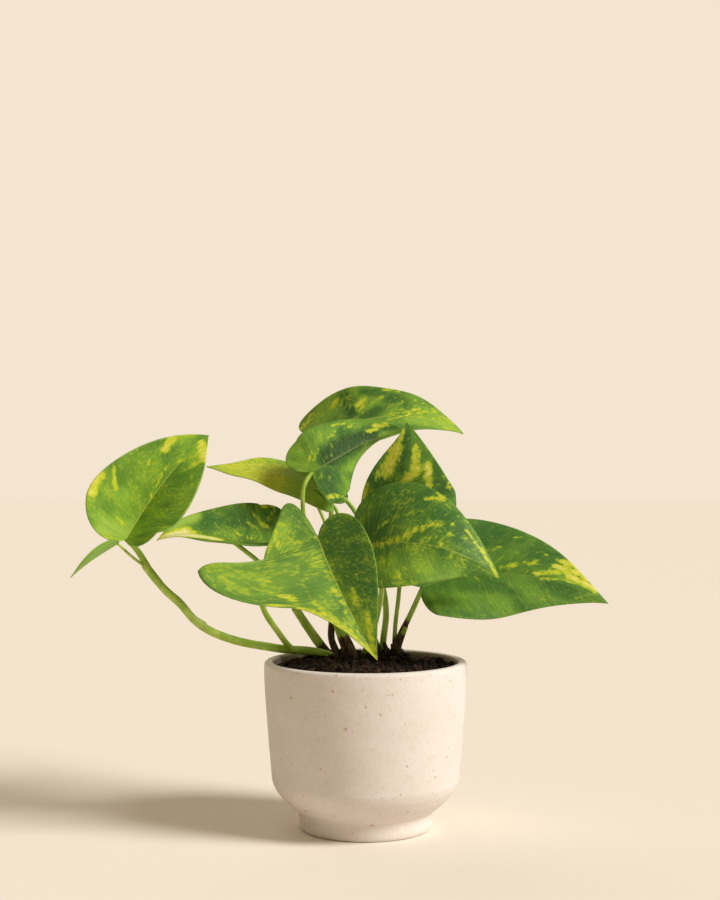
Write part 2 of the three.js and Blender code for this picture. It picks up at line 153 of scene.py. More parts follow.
# Blades where the CAD source has them, but leaf_back's tip lies 3 mm higher, hidden by leaf_upper_left.
# Pairs are [left, right] as seen from the upper face with the tip ahead, and angles are in degrees.
# The midrib runs from base to tip and bends at one and two thirds of the way, up by bow and to the left by
# sway. The upper face looks along face. width stretches a half across, and lobe its part behind the joint.
# rise is how steeply the halves leave the midrib at its two ends, and curl is how far each half bends.
# wave is the height, the number and the start of the margin's waves. tuck is how far the right half's near
# lobe lies behind its far one, where a split outline folds over itself. tone goes from dark to light green,
# flecks from few to many, and rib from a hidden midrib to a pale one.
BLADES = {
    "leaf_far_left": dict(
        base=(-142, 1, 170.5), tip=(-95.4, 26, 232.5), face=(0, -1, 0), bow=(-5, 15), sway=(5, 4),
        width=(1.12, 1.02), lobe=(0.85, 0.6), rise=((42, 60), (42, 20)), curl=(-6, 8), wave=(0.8, 3, 0.1),
        tone=0.6, flecks=1, rib=1,
    ),
    "leaf_young": dict(
        base=(-145.5, -9, 168.5), tip=(-170, -27, 150), face=(0, -0.2, 1), bow=(1, 2), sway=(0, 0),
        width=(0.32, 0.32), lobe=(0.6, 0.6), rise=((65, 65), (70, 70)), curl=(0, 0), wave=(0, 1, 0),
        outline=(SLENDER, SLENDER), tone=1, flecks=0, rib=0.4,
    ),
    "leaf_upper_left": dict(
        base=(-33.8, 12, 201), tip=(-96, 18, 213.4), face=(0, -0.42, 0.9), bow=(7, 0), sway=(-3, 0),
        width=(0.42, 0.88), lobe=(2.2, 0.8), rise=((-30, -3), (5, 6)), curl=(3, -7), wave=(0.8, 3, 0.3),
        tone=0.95, flecks=0.6, rib=0.3,
    ),
    "leaf_top_back": dict(
        base=(-30.3, 59, 233.2), tip=(61, 46, 233.5), face=(0, -0.6, 0.8), bow=(16, 22), sway=(-4, 1.5),
        width=(0.67, 0.72), lobe=(1.2, 0.6), rise=((17, 11), (-5, 7)), curl=(11, -13), wave=(1, 3, 0),
        outline=(BROAD, HEART), tone=0.5, flecks=0.6, rib=0.8,
    ),
    "leaf_top_front": dict(
        base=(-31.4, -8, 210.8), tip=(22.5, 16, 235.2), face=(0, -1, 0.1), bow=(8, -14), sway=(0.6, 6.4),
        width=(0.93, 0.8), lobe=(1.3, 0.15), rise=((-16, 3), (-16, -85)), curl=(-23, -15),
        wave=(1.2, 2, 0.2), outline=(BROAD, TAPERED), tone=0.5, flecks=0.5, rib=0.15,
    ),
    "leaf_upright": dict(
        base=(20.5, 13, 173.5), tip=(24.3, 6, 240.3), face=(0, -1, 0.3), bow=(-6, 12), sway=(13, -1.5),
        width=(0.62, 1.5), lobe=(0.6, 0.64), rise=((4, -1), (-13, 3)), curl=(-10, -38), wave=(1, 3, 0.4),
        tone=0.35, flecks=0.5, rib=0,
    ),
    "leaf_centre_right": dict(
        base=(1, -14, 168.5), tip=(77.2, -32, 149.8), face=(0, -0.95, 0.3), bow=(17, 22), sway=(5, 9),
        width=(1.06, 0.78), lobe=(1.1, 0.8), rise=((2, 13), (-20, -9)), curl=(-20, 14), wave=(1, 2, 0.1),
        tone=0.3, flecks=0.85, rib=0.3,
    ),
    "leaf_front": dict(
        base=(-27.5, -26, 173), tip=(6.5, -48, 105), face=(0, -1, 0.35), bow=(2, 2), sway=(-3, -2),
        width=(0.8, 1), lobe=(0.8, 1), rise=((25, 12), (20, 15)), curl=(-10, 0), wave=(0.8, 2, 0.3),
        outline=(HEART, SPLIT), tuck=0.5, tone=0.45, flecks=1.1, rib=0.5,
    ),
    "leaf_left": dict(
        base=(-50.5, -2, 171), tip=(-122, -14, 170.8), face=(0, -0.7, 0.7), bow=(-3, 1), sway=(9, -14),
        width=(0.8, 0.92), lobe=(0.8, 1), rise=((47, 7), (32, 10)), curl=(2, -5), wave=(0.8, 3, 0.6),
        tone=0.35, flecks=0.7, rib=0.2,
    ),
    "leaf_right": dict(
        base=(33.6, -5, 142.5), tip=(140, -25, 134.8), face=(0, -0.88, 0.48), bow=(-3, 6), sway=(19, 15.5),
        width=(0.77, 0.75), lobe=(0.9, 0.28), rise=((15, 40), (-20, -4)), curl=(-15, -19), wave=(1, 3, 0),
        tone=0.34, flecks=0.25, rib=0.2,
    ),
    "leaf_back_left": dict(
        base=(-84, 8, 173), tip=(-86, 64, 180), face=(0, 0, 1), bow=(6, 6), sway=(0, 0),
        width=(0.85, 0.85), lobe=(0.8, 0.8), rise=((15, 15), (5, 5)), curl=(-10, -10), wave=(0.8, 3, 0.5),
        tone=0.4, flecks=0.5, rib=0.5,
    ),
    "leaf_back": dict(
        base=(-25, 40, 192), tip=(-63, 88, 201), face=(0, 0, 1), bow=(6, 6), sway=(0, 0),
        width=(0.66, 0.66), lobe=(0.8, 0.8), rise=((15, 15), (5, 5)), curl=(-10, -10), wave=(0.8, 3, 0.2),
        tone=0.4, flecks=0.6, rib=0.5,
    ),
    "leaf_back_upper": dict(
        base=(-20, 37, 197), tip=(-40, 80, 228), face=(0, -0.5, 1), bow=(5, 5), sway=(0, 0),
        width=(0.5, 0.5), lobe=(0.5, 0.5), rise=((20, 20), (10, 10)), curl=(-10, -10), wave=(0.8, 3, 0.7),
        tone=0.5, flecks=0.5, rib=0.5,
    ),
}

# Soft marks on the blades, picked in the photo and turned into millimetres on the blade: from one place
# to another, each across the midrib (left is positive) and along it, then the mark's radius and its strength.
# The dark and pale marks hold the blades' own darker and paler patches and, where noted below, painted shade
# and painted light.
MARKS = {
    "leaf_far_left": {
        "cream": [
            (40, 22, 38, 10, 3.1, 1.25), (16, 61, 15, 56, 2.5, 1.25), (35, 31, 25, 21, 1.4, 0.8),
            (14, 7, 8, 6, 1.4, 0.85), (3, 27, -3, 30, 1.2, 0.85), (19, 47, 15, 39, 1.1, 0.7),
            (6, 49, 4, 41, 1.1, 0.75), (-1, 75, -11, 67, 2.4, 1.3), (2, 56, -5, 66, 1.1, 0.75),
            (-9, 58, -9, 62, 1.6, 0.85), (-15, 52, -15, 53, 1.1, 0.8), (28, 15, 25, 13, 0.9, 0.6),
            (3, 40, 2, 30, 0.9, 0.7), (-33, 18, -31, 9, 1.2, 0.5), (20, -10, 4, -4, 1.6, 0.6),
            (20, 59, 6, 75, 0.9, 0.55),
        ],
        # the dark marks on the right half are partly its own bluer green and partly painted shade of that
        # half's fold
        "dark": [
            (-20, 21, -17, 9, 6.8, 0.12), (-21, 37, -23, 28, 5, 0.08),
        ],
        "pale": [
            (18, -5, 2, 4, 7.4, 0.8), (16, 19, 8, 1, 5.6, 0.4),
        ],
    },
    "leaf_upper_left": {
        # the three cream marks of 12 mm radius and the pale mark are partly the blade's light yellow-green and
        # partly painted light on the basal half, which lies in the shade of the leaves above; the small cream
        # marks are its variegation
        "cream": [
            (-4, 50, 4, 20, 8, 0.9), (-8, 50, -8, 26, 12, 0.72), (8, 45, 8, 24, 12, 0.78),
            (0, 18, 0, 2, 12, 0.35), (-4, 53, -10, 32, 2.2, 1), (2, 43, -1, 30, 1.2, 0.6),
            (-11, 20, -2, 6, 0.9, 0.5),
        ],
        "dark": [
            (1, -2, 5, -9, 3.7, 0.3),
        ],
        "pale": [
            (2, 58, 5, 4, 14, 1.3),
        ],
    },
    "leaf_top_back": {
        "cream": [
            (4, 56, 6, 88, 8, 0.4), (18, 4, 20, 16, 6, 0.4),
            (10, -13, 18, -6, 2.5, 0.75), (16, 9, 23, 14, 2.5, 0.65), (14, 28, 19, 33, 2.2, 0.95),
            (9, 29, 11, 31, 1.9, 0.85), (14, 38, 19, 45, 1, 0.5), (25, 46, 23, 54, 1.6, 0.8),
            (1, 53, 13, 81, 1.1, 0.7), (4, 58, 10, 65, 0.9, 0.6), (-8, 73, -1, 95, 0.9, 0.6),
            (7, 82, 4, 91, 1.1, 0.7), (-6, 48, 10, 79, 0.7, 0.85), (13, 19, 17, 23, 0.9, 0.4),
        ],
        "dark": [
            (23, 19, 9, 24, 4.3, 0.8), (26, 30, 20, 46, 2.5, 0.5), (17, 50, 11, 59, 3.7, 0.6),
            (6, 41, 3, 34, 3.1, 0.6),
        ],
        "pale": [
            (12, -2, 20, 9, 6.2, 0.5), (-5, 63, 1, 88, 5, 0.6),
        ],
    },
    "leaf_top_front": {
        "cream": [
            (21, 33, 18, 39, 1, 0.7), (8, 52, 7, 58, 1.6, 0.95), (6, 47, 6, 53, 1.2, 0.8),
            (14, 24, 16, 31, 0.9, 0.6), (15, 37, 14, 42, 0.9, 0.6), (5, -1, 11, 6, 1, 0.6),
            (6, 4, 11, 12, 0.9, 0.6), (15, -1, 16, 2, 0.9, 0.5), (-22, 10, -18, 2, 1.1, 0.8),
            (-3, 5, -6, 2, 0.9, 0.5), (23, 18, 22, 24, 1.2, 0.4),
        ],
        # all the dark marks are painted shade: the deep green zone that leaf_top_back overhangs, a patch on
        # the lower half and a thin strip near the tip
        "dark": [
            (3, 14, 5, 32, 7, 1), (6, 33, 3, 48, 4.5, 1), (1, 25, 2, 39, 3.7, 1), (-5, 9, -14, 5, 6, 0.7),
            (4, 52, 4, 63, 1.2, 0.6),
        ],
        "pale": [
            (-9, 28, -1, 55, 3.7, 0.4), (21, -1, 3, -1, 6.2, 0.3),
        ],
    },
    "leaf_upright": {
        "cream": [
            (2, 65, 3, 55, 1.4, 0.9), (4, 53, 6, 37, 3.1, 1.15), (9, 40, 11, 33, 1.6, 0.8),
            (-7, 56, -9, 42, 1.6, 1.1), (-10, 54, -12, 43, 0.9, 0.8), (-5, 33, -11, 43, 2.2, 1.1),
            (-9, 36, -15, 44, 1.9, 0.9), (-17, 47, -21, 33, 2.1, 1.2), (17, 27, 17, 21, 1.6, 1),
            (-34, 36, -38, 29, 1.6, 0.8), (-28, 42, -30, 40, 0.9, 0.6),
        ],
        "dark": [
            (0, 62, -2, 41, 2.2, 0.8), (-23, 45, -37, 20, 4.3, 0.3), (14, 31, 8, 29, 3.7, 0.5),
        ],
    },
    "leaf_centre_right": {
        "cream": [
            (-2, 5, 2, 24, 2, 0.65), (2, 24, 8, 30, 2.2, 0.72), (8, 30, 15, 44, 2.3, 0.72),
            (30, 31, 33, 41, 1.6, 0.85), (36, 36, 34, 39, 1, 0.8), (13, 10, 18, 21, 1, 0.5),
            (18, 20, 21, 30, 1, 0.5), (5, 2, 12, 9, 0.9, 0.4), (16, 60, 4, 78, 0.9, 0.8),
            (9, 72, -1, 86, 1, 0.9), (1, 48, -4, 63, 3.1, 0.35), (-13, 13, -21, 29, 3.7, 0.45),
            (1, 35, 8, 52, 1.9, 0.4), (16, 51, 10, 63, 1.6, 0.4),
        ],
        "dark": [
            (8, 5, 23, 17, 5, 0.4), (31, 11, 28, 28, 3.7, 0.4), (21, 42, 14, 56, 4.3, 0.4),
        ],
        "pale": [
            (-16, 15, -13, 60, 6.2, 0.5),
        ],
    },
    "leaf_right": {
        "cream": [
            (4, 47, 9, 65, 1.6, 0.65), (15, 80, 15, 86, 1.9, 1.05), (10, 77, 11, 94, 1.8, 1.2),
            (2, 67, 9, 86, 1.6, 1), (6, 86, 5, 103, 1.8, 1.35), (15, 87, 9, 96, 1.6, 1.15),
            (-1, 71, 4, 93, 0.9, 0.6), (17, 69, 16, 72, 1, 0.6), (-6, 95, 3, 106, 0.7, 0.5),
            (-13, 76, -14, 78, 0.9, 0.6), (18, 44, 18, 45, 0.9, 0.5),
        ],
        "dark": [
            (29, 36, 20, 66, 6.2, 0.3), (-2, 77, -2, 90, 2.5, 0.4),
        ],
        "pale": [
            (-19, 0, -22, 49, 6.2, 0.25),
        ],
    },
    "leaf_front": {
        "cream": [
            (7, 38, 5, 47, 1.9, 0.7), (-1, 34, -3, 64, 1, 0.6), (8, 54, 1, 73, 1.5, 0.85),
            (-3, 47, -3, 69, 1.2, 0.5), (-44, 26, -26, 35, 1.1, 0.6), (-28, 34, -13, 46, 1.6, 0.85),
            (-13, 46, -4, 63, 2, 0.8), (-5, 62, 0, 78, 1.6, 0.9), (-15, 39, -7, 53, 1, 0.7),
            (-20, 21, -16, 38, 1, 0.6), (-17, 35, -14, 43, 1.4, 0.8), (-40, 15, -35, 22, 3.1, 0.55),
            (-56, 13, -51, 17, 1.9, 0.6), (-31, 26, -27, 30, 1.9, 0.7), (-24, -8, -23, -2, 1.6, 0.8),
            (-15, -14, -22, -11, 1.9, 0.6), (-17, -2, -5, 13, 5, 0.42), (-4, 14, -2, 26, 2.5, 0.5),
            (-4, 18, -3, 39, 1, 0.6), (-32, 10, -29, -2, 1.9, 0.35), (-64, 5, -57, 10, 1.9, 0.4),
        ],
        # the dark marks are painted shade on the left half, which is turned away from the light
        "dark": [
            (14, 3, 14, 23, 10, 0.6), (16, 30, 12, 47, 5, 0.45),
        ],
        "pale": [
            (-61, 9, -11, 31, 11.2, 0.15), (-17, -12, -21, -10, 3.7, 0.4),
        ],
    },
    "leaf_left": {
        # the three strong cream marks near the tip are the blade's cream zone, painted past full strength to
        # stand in for light this downturned blade lacks: partly painted light
        "cream": [
            (1, 71, -1, 57, 2.4, 2), (4, 66, 7, 39, 3.8, 2.2), (-3, 56, 6, 47, 1.9, 1.4),
            (-20, 15, -11, 5, 1.6, 0.9), (-15, 22, -10, 15, 1.2, 0.6), (-6, 29, -2, 14, 0.9, 0.5),
            (-26, 0, -23, -7, 1.2, 0.8), (-23, 37, -28, 26, 0.7, 0.4), (-15, 2, -20, -5, 0.9, 0.5),
            (-10, 41, -5, 36, 0.9, 0.4),
        ],
        "dark": [
            (-12, 48, -15, 19, 5, 0.4),
        ],
        "pale": [
            (-5, 66, -13, 52, 3.7, 0.9),
        ],
    },
    "leaf_back_left": {
        "cream": [
            (8, 20, 20, 34, 1.6, 0.9), (-6, 16, -18, 26, 1.4, 0.8), (4, 40, 10, 48, 1.2, 0.8),
            (-5, 36, -12, 46, 2, 0.6),
        ],
        "dark": [
            (10, 10, 16, 16, 6, 0.4),
        ],
        "pale": [
            (-10, 8, -16, 14, 6, 0.4),
        ],
    },
    "leaf_back": {
        "cream": [
            (5, 14, 13, 26, 1.4, 0.8), (-4, 24, -12, 36, 1.8, 0.9), (3, 38, 7, 48, 1.2, 0.7),
        ],
        "dark": [
            (-8, 10, -12, 18, 5, 0.4),
        ],
    },
    "leaf_back_upper": {
        "cream": [
            (4, 18, 9, 28, 1.4, 0.9), (-3, 12, -9, 22, 1.2, 0.7), (-3, 34, -6, 40, 1.2, 0.7),
        ],
        "pale": [
            (6, 4, 8, 10, 4, 0.4),
        ],
    },
}

# Stalks: each shoot's radii at both ends, the share of its length that is brown (-1 for none, 2 for all),
# and its points from the foot up.
STALKS = {
    "stalk_runner": [
        ((2.6, 2.4), 0.05, [
            (-14, 14, 88), (-18, 17, 97), (-28, 19, 101), (-50, 20, 103), (-58, 20, 104.2),
            (-77, 18, 108), (-93.5, 15, 114.5), (-103, 13, 121.5), (-111, 10, 131.5), (-120, 8, 140),
            (-128.5, 5, 151), (-131.5, 4, 155),
        ]),
        ((2.3, 2.3), -1, [
            (-97.2, 14.2, 117.2), (-100, 13.7, 119.2), (-104.5, 12.4, 123),
        ]),
        ((2, 1.6), -1, [
            (-130, 4.5, 153), (-134, 4, 161), (-138, 2.5, 166.5), (-142, 1, 170.5),
        ]),
        ((0.9, 0.8), -1, [
            (-130, 4.5, 153), (-138, -1, 160), (-145.5, -9, 168.5),
        ]),
        ((1.9, 1.4), -1, [
            (-45, 20, 102.5), (-51, 13, 112), (-60, 5, 127), (-62, -2, 138), (-56, -11, 155),
            (-42, -22, 169), (-27.5, -26, 173),
        ]),
    ],
    "stalk_left": [
        ((3.1, 2.5), 0.45, [
            (-21, 33, 86), (-22, 32, 96), (-25, 30, 101), (-31, 27, 109.5), (-38, 22, 120.5),
            (-42.5, 19, 128),
        ]),
        ((1.7, 1.3), -1, [
            (-41, 20, 125.5), (-52, 11, 143), (-63, 6, 156), (-72, 5, 163.5), (-78, 6, 168),
            (-84, 8, 173),
        ]),
        ((1.7, 1.3), -1, [
            (-41, 20, 125.5), (-44, 11, 145), (-46.5, 2, 162), (-50.5, -2, 171),
        ]),
    ],
    "stalk_centre": [
        ((2.2, 2), 0.85, [
            (-12, 7, 86), (-14, 8.5, 97), (-18, 12, 103.5), (-20.5, 14, 110), (-20, 14, 124),
            (-20, 15, 142),
        ]),
        ((2.3, 1.6), 0.6, [
            (-9, 4, 86), (-10, 5, 97), (-12.3, 6.5, 104), (-17.5, 12, 118), (-20, 14, 128),
        ]),
        ((3.1, 1.7), 0.8, [
            (-5.5, 3, 86), (-6, 3.5, 97), (-8, 4.5, 104), (-11.5, 7, 111.5), (-15.5, 10.5, 118),
        ]),
        ((1.5, 1.2), -1, [
            (-20, 15, 138), (-27, 7, 156), (-35, -1, 176), (-37, -5, 190), (-36, -8.5, 203),
            (-31.4, -8, 210.8),
        ]),
        ((1.2, 1), -1, [
            (-20, 15, 138), (-21, 14.5, 156), (-23.5, 14.5, 177), (-28, 16, 188), (-31.5, 14.5, 195.5),
            (-33.4, 12.5, 200),
        ]),
        ((1.6, 1.3), -1, [
            (-20, 15, 138), (-20, 18, 158), (-21, 21, 178), (-20.5, 26, 196), (-24, 41, 215),
            (-30.3, 59, 233.2),
        ]),
        ((1.3, 1.1), -1, [
            (-20, 15, 138), (-17, 21, 160), (-16.5, 27, 177), (-18, 33, 187), (-25, 40, 192),
        ]),
    ],
    "stalk_back": [
        ((2.2, 1.2), 0.12, [
            (9, 21, 86), (9.5, 21, 97), (11, 21, 110), (12.5, 21, 124), (11, 22, 138), (3, 26, 165),
            (-6, 30, 185), (-13, 34, 193.5), (-20, 37, 197),
        ]),
        ((2.6, 1.1), 2, [
            (9.5, 19, 86), (9, 18, 97), (8, 16.5, 103), (6, 15, 110),
        ]),
    ],
    "stalk_middle": [
        ((2, 1.4), 0.14, [
            (-3, 12, 86), (-2.5, 12, 97), (2, 8, 108), (6, 0, 122), (9.5, -8, 142), (7.5, -12, 159),
            (1, -14, 168.5),
        ]),
    ],
    "stalk_right": [
        ((2.4, 2), 2, [
            (18, 13, 86), (17.5, 13, 97), (17, 13.5, 107),
        ]),
        ((2.7, 1.2), 2, [
            (17, 13, 88), (15, 13, 98), (12.8, 12.5, 103), (11.2, 12, 107.5),
        ]),
        ((2.7, 1.7), 0.85, [
            (18, 13.2, 88), (18.2, 13.2, 98), (19.4, 12.2, 105), (21.6, 10, 112), (24, 7, 118.5),
        ]),
        ((1.4, 1.2), 0.14, [
            (17.2, 13.4, 102), (18, 15, 118), (20, 17, 135), (21, 18.5, 148), (21.5, 18, 160),
            (20.5, 13, 173.5),
        ]),
        ((2, 1.4), 0.5, [
            (17.2, 13.4, 102), (21, 10, 113), (26.5, 4, 125), (31, -2, 136), (33.6, -5, 142.5),
        ]),
    ],
}


def at(x, y, z):
    return Vector((x, y, z)) * MM


def smooth(low, high, value):
    t = min(max((value - low) / (high - low), 0), 1)
    return t * t * (3 - 2 * t)


def cubic_weights(t):
    return (1 - t) ** 3, 3 * t * (1 - t) ** 2, 3 * t * t * (1 - t), t ** 3


def new_object(shape, name, material):
    """A finished bmesh as an object of the scene."""
    mesh = bpy.data.meshes.new(name)
    shape.to_mesh(mesh)
    shape.free()
    mesh.materials.append(material)
    made = bpy.data.objects.new(name, mesh)
    bpy.context.scene.collection.objects.link(made)
    return made


def finish_piece(shape, name, material, node=None):
    """A smooth piece of the plant, its soil or its pot, which stands for a CAD node if it names one."""
    piece = new_object(shape, name, material)
    piece.data.polygons.foreach_set("use_smooth", [True] * len(piece.data.polygons))
    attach(piece, "root")
    if node:
        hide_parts(node)
    return piece


# Materials

def linear(code):
    """An sRGB hex colour as linear values."""
    parts = [int(code[k:k + 2], 16) / 255 for k in (0, 2, 4)]
    return [*(c / 12.92 if c <= 0.04045 else ((c + 0.055) / 1.055) ** 2.4 for c in parts), 1]


def add(tree, kind, inputs=(), **settings):
    """The outputs of a new shader node. Its inputs are values or other nodes' outputs, listed or by name."""
    made = tree.nodes.new("ShaderNode" + kind)
    for key, value in settings.items():
        setattr(made, key, value)
    for key, value in inputs.items() if isinstance(inputs, dict) else enumerate(inputs):
        if isinstance(value, bpy.types.NodeSocket):
            tree.links.new(value, made.inputs[key])
        else:
            made.inputs[key].default_value = value
    return made.outputs


def tint(tree, colour, code, value, low, high, strength=1):
    """A colour with another laid over it, not where value is low, and at full strength where it is high."""
    cover = add(tree, "MapRange", [value, low, high, 0, strength], interpolation_type="SMOOTHSTEP")[0]
    return add(tree, "Mix", {0: cover, 6: colour, 7: linear(code)}, data_type="RGBA")[2]


def noise_of(tree, place, sizes, detail=3, roughness=0.5):
    """Noise whose spots measure sizes, in the units of place."""
    scaled = add(tree, "VectorMath", [place, [1 / s for s in sizes]], operation="MULTIPLY")[0]
    inputs = {"Vector": scaled, "Scale": 1, "Detail": detail, "Roughness": roughness}
    return add(tree, "TexNoise", inputs)["Fac"]


def stored_numbers(tree, name):
    """The three numbers that an attribute of the mesh holds."""
    stored = add(tree, "Attribute", attribute_name=name)["Vector"]
    return add(tree, "SeparateXYZ", [stored])


def object_millimetres(tree):
    place = add(tree, "TexCoord")["Object"]
    return add(tree, "VectorMath", {0: place, "Scale": 1 / MM}, operation="SCALE")[0]


def new_material(name):
    made = bpy.data.materials.new(name)
    made.use_nodes = True
    made.node_tree.nodes.clear()
    return made, made.node_tree


def leaf_material(name, underside):
    """Waxy leaf: green with yellow marbling along its veins, a pale midrib and faintly sunken veins."""
    material, tree = new_material(name)
    across, out, share = stored_numbers(tree, "blade")
    cream, dark, pale = stored_numbers(tree, "paint")
    leaf_tone, flecks, rib = stored_numbers(tree, "kind")
    seed = add(tree, "Attribute", attribute_name="seed")["Fac"]
    span = add(tree, "Math", [out], operation="ABSOLUTE")[0]

    # place on the blade in millimetres: round the margin, out along a vein, and apart for each half and leaf
    half = add(tree, "Math", [out], operation="SIGN")[0]
    apart = add(tree, "Math", [half, HALVES_APART], operation="MULTIPLY")[0]
    place = add(tree, "CombineXYZ", [
        add(tree, "Math", [share, MARGIN_LENGTH], operation="MULTIPLY")[0],
        add(tree, "Math", [span, VEIN_LENGTH, apart], operation="MULTIPLY_ADD")[0],
        add(tree, "Math", [seed, LEAVES_APART], operation="MULTIPLY")[0],
    ])[0]
    streaks = noise_of(tree, place, (2.2, 6.5, 1), detail=5, roughness=0.7)
    dots = noise_of(tree, place, (1.5, 2.4, 1), roughness=0.6)
    broad = noise_of(tree, place, (9, 22, 1), detail=2)
    cells = noise_of(tree, place, (0.9, 0.9, 1), detail=2)
    grain = noise_of(tree, place, (0.8, 4.5, 1), roughness=0.6)

    # greens, mottled round the leaf's own tone, then darkened by dark marks and lightened by pale ones
    patch = add(tree, "Math", [broad, 0.5], operation="SUBTRACT")[0]
    lift = add(tree, "Math", [pale, dark], operation="SUBTRACT")[0]
    tone = add(tree, "Math", [lift, 0.7, leaf_tone], operation="MULTIPLY_ADD")[0]
    tone = add(tree, "Math", [patch, 1.2, tone], operation="MULTIPLY_ADD")[0]
    colour = tint(tree, linear("47782f"), "93c13e", tone, 0, 1)
    # the dark marks hold the blade's own darker green and also painted shade; strong ones, such as the painted
    # shade on leaf_top_front, turn deep green
    colour = tint(tree, colour, "2a4a1c", dark, 0.55, 0.95, 0.8)
    # the pale marks hold the blade's own paler green and also painted light, most of all on leaf_upper_left
    colour = tint(tree, colour, "c2d766", pale, 0.4, 1, 0.6)
    colour = tint(tree, colour, "a9c64c", grain, 0.5, 0.72, 0.22)
    colour = tint(tree, colour, "2d5519", grain, 0.5, 0.28, 0.3)

    # flecks, in crowds and seldom on dark patches
    crowd = add(tree, "Math", [patch, 0.55, dots], operation="MULTIPLY_ADD")[0]
    crowd = add(tree, "Math", [flecks, 0.16, crowd], operation="MULTIPLY_ADD")[0]
    clear = add(tree, "Math", [dark, -0.7, 0.75], operation="MULTIPLY_ADD", use_clamp=True)[0]
    colour = tint(tree, colour, "b4cc38", crowd, 0.7, 0.8, clear)

    # marbling, from a yellow-green edge to a cream heart
    marbling = add(tree, "Math", [streaks, 3, -1.5], operation="MULTIPLY_ADD")[0]
    marbling = add(tree, "Math", [cream, 0.86, marbling], operation="MULTIPLY_ADD")[0]
    colour = tint(tree, colour, "9fc030", marbling, 0.22, 0.5, 0.7)
    colour = tint(tree, colour, "d3db35", marbling, 0.42, 0.75)
    colour = tint(tree, colour, "f3ea72", marbling, 0.85, 1.3)
    colour = tint(tree, colour, "faf3ba", marbling, 1.3, 1.9)

    # side veins run at even shares of the margin, with fine ones between them, and fade towards it
    wander = add(tree, "Math", [broad, 0.5], operation="MULTIPLY")[0]
    rank = add(tree, "Math", [share, VEINS, wander], operation="MULTIPLY_ADD")[0]
    fine_rank = add(tree, "Math", [rank, FINE_VEINS], operation="MULTIPLY")[0]
    near_vein = add(tree, "Math", [rank, 0.5], operation="PINGPONG")[0]
    near_fine = add(tree, "Math", [fine_rank, 0.5], operation="PINGPONG")[0]
    fade = add(tree, "MapRange", [span, 1, 0.5], interpolation_type="SMOOTHSTEP")[0]
    vein = add(tree, "MapRange", [near_vein, 0.43, 0.5, 0, fade], interpolation_type="SMOOTHSTEP")[0]
    cover = add(tree, "Math", [vein, 0.09], operation="MULTIPLY")[0]
    colour = add(tree, "Mix", {0: cover, 6: colour, 7: linear("bcd55c")}, data_type="RGBA")[2]

    # midrib, widest at the joint, and a thin pale margin
    off_midrib = add(tree, "Math", [across], operation="ABSOLUTE")[0]
    breadth = add(tree, "Math", [1.25, share], operation="SUBTRACT")[0]
    off_midrib = add(tree, "Math", [off_midrib, breadth], operation="DIVIDE")[0]
    midrib = add(tree, "MapRange", [off_midrib, 0.85, 0.3], interpolation_type="SMOOTHSTEP")[0]
    cover = add(tree, "Math", [midrib, rib], operation="MULTIPLY")[0]
    colour = add(tree, "Mix", {0: cover, 6: colour, 7: linear("d4e360")}, data_type="RGBA")[2]
    colour = tint(tree, colour, "b9cf6a", span, 0.98, 1, 0.25)
    if underside:
        colour = add(tree, "Mix", {0: 0.45, 6: colour, 7: linear("a6bd78")}, data_type="RGBA")[2]

    # relief: veins and midrib lie low on the upper face and stand up on the underside
    relief = add(tree, "Math", [vein, 0.6, midrib], operation="MULTIPLY_ADD")[0]
    relief = add(tree, "Math", [relief, 1 if underside else -1, grain], operation="MULTIPLY_ADD")[0]
    relief = add(tree, "Math", [near_fine, -0.5, relief], operation="MULTIPLY_ADD")[0]
    relief = add(tree, "Math", [cells, 0.4, relief], operation="MULTIPLY_ADD")[0]
    bump = add(tree, "Bump", {"Height": relief, "Strength": 0.7, "Distance": 0.18 * MM})[0]

    roughness = add(tree, "Math", [cells, 0.12, 0.58 if underside else 0.5], operation="MULTIPLY_ADD")[0]
    skin = add(tree, "BsdfPrincipled", {
        "Base Color": colour, "Roughness": roughness, "Normal": bump, "Specular IOR Level": 0.3,
    })[0]
    lit_through = add(tree, "Mix", {0: 0.35, 6: colour, 7: linear("b5d52e")}, data_type="RGBA")[2]
    glow = add(tree, "BsdfTranslucent", {"Color": lit_through})[0]
    add(tree, "OutputMaterial", {"Surface": add(tree, "MixShader", [0.26, skin, glow])[0]})
    return material


def stalk_material():
    """Fleshy stalk: yellow-green and faintly ribbed, turning to dry brown towards the foot."""
    material, tree = new_material("pothos_stalk")
    dry, turn, _ = stored_numbers(tree, "stem")
    place = object_millimetres(tree)
    grain = noise_of(tree, place, (1.2, 1.2, 6), detail=4, roughness=0.6)
    soft = noise_of(tree, place, (7, 7, 12), detail=2)
    green = tint(tree, linear("96bb36"), "bdd658", soft, 0.35, 0.7)
    green = tint(tree, green, "c8d77c", grain, 0.5, 0.75, 0.25)
    bark = tint(tree, linear("2a1d12"), "6b5534", grain, 0.35, 0.65)
    brown = add(tree, "Math", [grain, 0.7, dry], operation="MULTIPLY_ADD")[0]
    brown = add(tree, "MapRange", [brown, 0.75, 1.1], interpolation_type="SMOOTHSTEP")[0]
    colour = add(tree, "Mix", {0: brown, 6: green, 7: bark}, data_type="RGBA")[2]
    roughness = add(tree, "Math", [brown, 0.4, 0.4], operation="MULTIPLY_ADD")[0]
    ribs = add(tree, "Math", [turn, STALK_RIBS], operation="MULTIPLY")[0]
    ribs = add(tree, "Math", [ribs], operation="SINE")[0]
    relief = add(tree, "Math", [ribs, 0.15, grain], operation="MULTIPLY_ADD")[0]
    bump = add(tree, "Bump", {"Height": relief, "Strength": 0.5, "Distance": 0.25 * MM})[0]
    skin = add(tree, "BsdfPrincipled", {
        "Base Color": colour, "Roughness": roughness, "Normal": bump,
        "Subsurface Weight": 0.15, "Subsurface Scale": 1.5 * MM, "Subsurface Radius": (0.8, 1, 0.3),
    })[0]
    add(tree, "OutputMaterial", {"Surface": skin})
    return material


